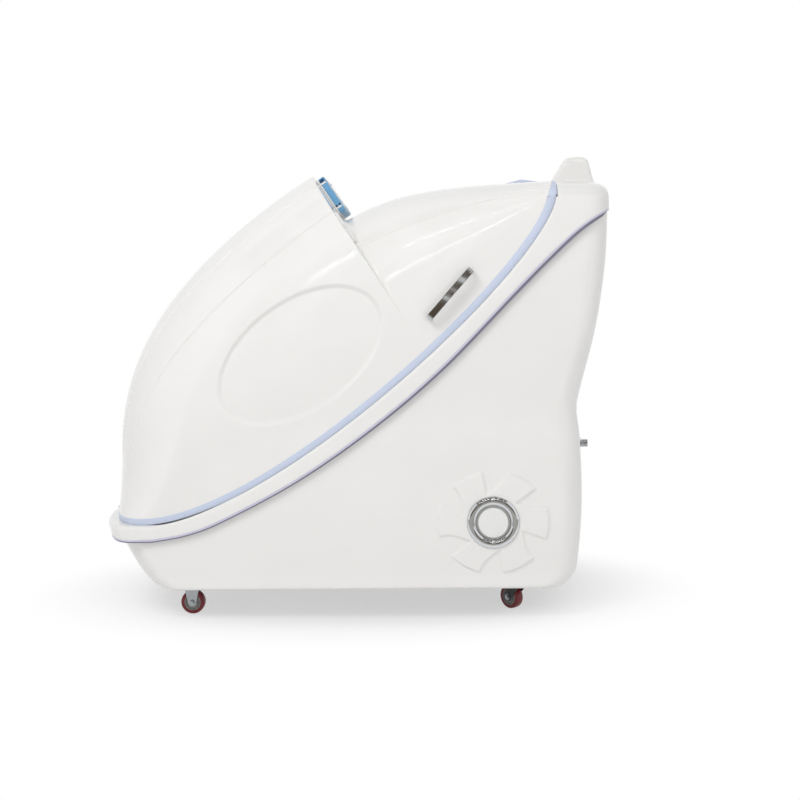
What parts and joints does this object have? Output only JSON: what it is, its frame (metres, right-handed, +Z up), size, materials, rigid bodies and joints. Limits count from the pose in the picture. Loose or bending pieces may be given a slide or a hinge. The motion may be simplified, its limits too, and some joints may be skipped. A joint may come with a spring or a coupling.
{
  "type": "steam sauna capsule",
  "caption": "Seated one-person steam sauna capsule: tub on casters with a hinged hood lid, neck opening, gas struts, pull handles, control panel and steam boiler.",
  "frame": {"origin": "centre of the bounding box at floor level, under the casters", "axes": "+X towards the head end, +Y towards the far flank, +Z up"},
  "size_m": [1.366, 0.796, 1.202],
  "materials": {
    "white_gelcoat": "glossy white gelcoat on glass-fibre laminate",
    "white_liner_gelcoat": "satin-gloss white liner gelcoat",
    "pale_blue_seal": "smooth pale blue extruded seal",
    "lilac_seam_vinyl": "matte grey-lilac vinyl edging",
    "chrome_plate": "bright chrome plate",
    "brushed_stainless": "brushed stainless steel",
    "zinc_plated_steel": "bright zinc plate",
    "black_coated_steel": "satin black coating",
    "blue_panel_plastic": "satin mid-blue moulded plastic",
    "smoked_screen_glass": "smoked glossy window",
    "white_key_plastic": "matte white moulded keys",
    "white_cap_plastic": "glossy white moulded cap",
    "dark_red_polyurethane": "smooth dark red tread",
    "grey_wheel_core": "grey nylon core",
    "grey_painted_steel": "grey powder coat",
    "brass_fitting": "turned brass",
    "copper_pipe": "drawn copper"
  },
  "bodies": {
    "base": {"base_skirt": "white_gelcoat", "rim_moulding": "white_gelcoat", "seam_trim": "lilac_seam_vinyl", "seat_tub": "white_liner_gelcoat", "headrest": "white_gelcoat", "chassis_frame": "grey_painted_steel", "water_inlet": "chrome_plate", "inlet_locknut": "chrome_plate", "steam_boiler": "brushed_stainless", "feed_pipe": "copper_pipe", "steam_pipe": "copper_pipe", "steam_nozzle": "brass_fitting", "badge_bezel_left": "chrome_plate", "badge_cap_left": "white_cap_plastic", "hinge_base_left": "brushed_stainless", "hinge_pin_left": "brushed_stainless", "strut_base_bracket_left": "zinc_plated_steel", "caster_fork_front_left": "zinc_plated_steel", "axle_front_left": "zinc_plated_steel", "caster_plate_rear_left": "zinc_plated_steel", "badge_bezel_right": "chrome_plate", "badge_cap_right": "white_cap_plastic", "hinge_base_right": "brushed_stainless", "hinge_pin_right": "brushed_stainless", "strut_base_bracket_right": "zinc_plated_steel", "caster_fork_front_right": "zinc_plated_steel", "axle_front_right": "zinc_plated_steel", "caster_plate_rear_right": "zinc_plated_steel"},
    "lid": {"lid_shell": "white_gelcoat", "lid_edge_band": "pale_blue_seal", "neck_bead": "pale_blue_seal", "panel_housing": "blue_panel_plastic", "panel_screen": "smoked_screen_glass", "handle_left": "chrome_plate", "hinge_lid_left": "brushed_stainless", "strut_lid_bracket_left": "zinc_plated_steel", "handle_right": "chrome_plate", "hinge_lid_right": "brushed_stainless", "strut_lid_bracket_right": "zinc_plated_steel"},
    "strut_tube_left": {"strut_tube_left": "black_coated_steel"},
    "strut_rod_left": {"strut_rod_left": "chrome_plate"},
    "strut_tube_right": {"strut_tube_right": "black_coated_steel"},
    "strut_rod_right": {"strut_rod_right": "chrome_plate"},
    "key_left": {"key_left": "white_key_plastic"},
    "key_middle": {"key_middle": "white_key_plastic"},
    "key_right": {"key_right": "white_key_plastic"},
    "wheel_front_left": {"tyre_front_left": "dark_red_polyurethane", "wheel_core_front_left": "grey_wheel_core"},
    "wheel_front_right": {"tyre_front_right": "dark_red_polyurethane", "wheel_core_front_right": "grey_wheel_core"},
    "swivel_rear_left": {"caster_fork_rear_left": "black_coated_steel", "axle_rear_left": "zinc_plated_steel"},
    "wheel_rear_left": {"tyre_rear_left": "dark_red_polyurethane", "wheel_core_rear_left": "grey_wheel_core"},
    "swivel_rear_right": {"caster_fork_rear_right": "black_coated_steel", "axle_rear_right": "zinc_plated_steel"},
    "wheel_rear_right": {"tyre_rear_right": "dark_red_polyurethane", "wheel_core_rear_right": "grey_wheel_core"}
  },
  "joints": [
    {"name": "lid_hinge", "type": "hinge", "parent": "base", "child": "lid", "pos_m": [-0.663, 0, 0.265], "axis": [0, -1, 0], "range_deg": [0, 50]},
    {"name": "strut_tube_left_swing", "type": "hinge", "parent": "base", "child": "strut_tube_left", "pos_m": [-0.24709, -0.29, 0.20655], "axis": [0, -1, 0], "range_deg": [0, 25]},
    {"name": "strut_rod_left_swing", "type": "hinge", "parent": "lid", "child": "strut_rod_left", "pos_m": [-0.40442, -0.29, 0.59596], "axis": [0, -1, 0], "range_deg": [-25, 0]},
    {"name": "strut_tube_right_swing", "type": "hinge", "parent": "base", "child": "strut_tube_right", "pos_m": [-0.24709, 0.29, 0.20655], "axis": [0, -1, 0], "range_deg": [0, 25]},
    {"name": "strut_rod_right_swing", "type": "hinge", "parent": "lid", "child": "strut_rod_right", "pos_m": [-0.40442, 0.29, 0.59596], "axis": [0, -1, 0], "range_deg": [-25, 0]},
    {"name": "key_left_press", "type": "slide", "parent": "lid", "child": "key_left", "axis": [-0.8369, 0, -0.5473], "range_m": [0, 0.0015], "stiffness_N_per_m": 900},
    {"name": "key_middle_press", "type": "slide", "parent": "lid", "child": "key_middle", "axis": [-0.8369, 0, -0.5473], "range_m": [0, 0.0015], "stiffness_N_per_m": 900},
    {"name": "key_right_press", "type": "slide", "parent": "lid", "child": "key_right", "axis": [-0.8369, 0, -0.5473], "range_m": [0, 0.0015], "stiffness_N_per_m": 900},
    {"name": "wheel_front_left_spin", "type": "hinge", "parent": "base", "child": "wheel_front_left", "pos_m": [-0.419, -0.288, 0.03175], "axis": [0, 1, 0], "continuous": true},
    {"name": "wheel_front_right_spin", "type": "hinge", "parent": "base", "child": "wheel_front_right", "pos_m": [-0.419, 0.288, 0.03175], "axis": [0, 1, 0], "continuous": true},
    {"name": "swivel_rear_left_turn", "type": "hinge", "parent": "base", "child": "swivel_rear_left", "pos_m": [0.45, -0.27, 0.0747], "axis": [0, 0, 1], "continuous": true},
    {"name": "wheel_rear_left_spin", "type": "hinge", "parent": "swivel_rear_left", "child": "wheel_rear_left", "pos_m": [0.43162, -0.25162, 0.03175], "axis": [0.7071, 0.7071, 0], "continuous": true},
    {"name": "swivel_rear_right_turn", "type": "hinge", "parent": "base", "child": "swivel_rear_right", "pos_m": [0.45, 0.27, 0.0747], "axis": [0, 0, 1], "continuous": true},
    {"name": "wheel_rear_right_spin", "type": "hinge", "parent": "swivel_rear_right", "child": "wheel_rear_right", "pos_m": [0.43162, 0.25162, 0.03175], "axis": [-0.7071, 0.7071, 0], "continuous": true}
  ],
  "couplings": [
    {"joint": "strut_tube_left_swing", "follows": "lid_hinge", "ratio": 0.5},
    {"joint": "strut_rod_left_swing", "follows": "lid_hinge", "ratio": -0.5},
    {"joint": "strut_tube_right_swing", "follows": "lid_hinge", "ratio": 0.5},
    {"joint": "strut_rod_right_swing", "follows": "lid_hinge", "ratio": -0.5}
  ]
}
